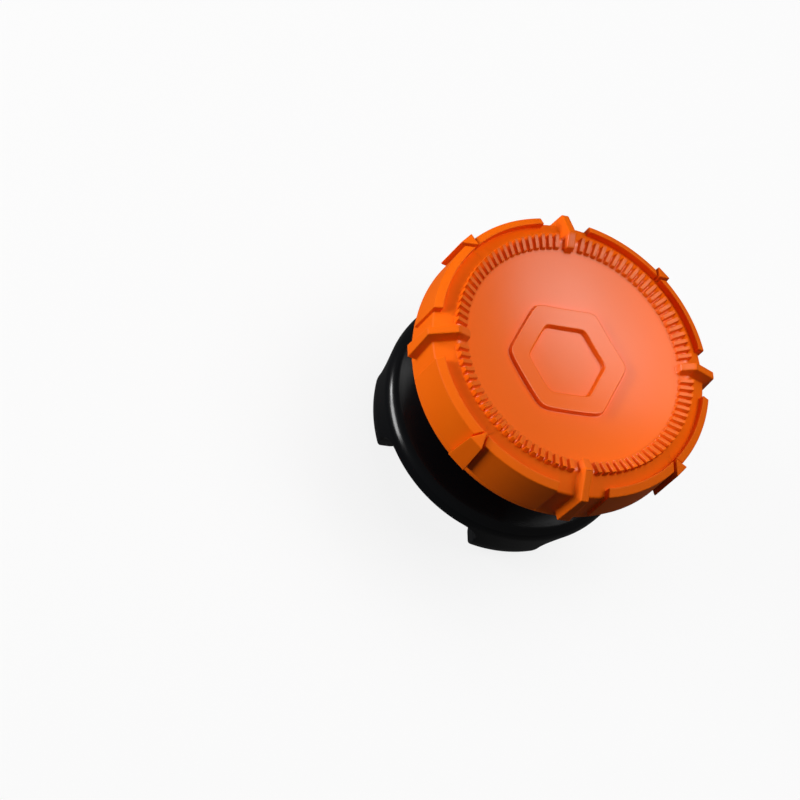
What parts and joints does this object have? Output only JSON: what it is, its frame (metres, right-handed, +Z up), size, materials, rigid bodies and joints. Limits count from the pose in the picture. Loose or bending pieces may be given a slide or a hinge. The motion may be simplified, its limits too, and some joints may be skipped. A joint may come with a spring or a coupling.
{
  "type": "controller thumb grip",
  "caption": "Clip-on thumb grip for a controller stick: orange toothed and ribbed cap with a dished top on a tall gloss black base with four hooked prongs.",
  "frame": {"origin": "on the axis, at the level of the four prong tips that the grip stands on", "axes": "+Z up along the axis, from the prongs to the dished top; +X and +Y through prongs and long ribs"},
  "size_m": [0.0274, 0.0274, 0.0193],
  "materials": {
    "orange_rubber": "satin",
    "black_gloss_plastic": "gloss"
  },
  "bodies": {
    "root": {"cap": "orange_rubber", "clip_base": "black_gloss_plastic"}
  },
  "joints": []
}
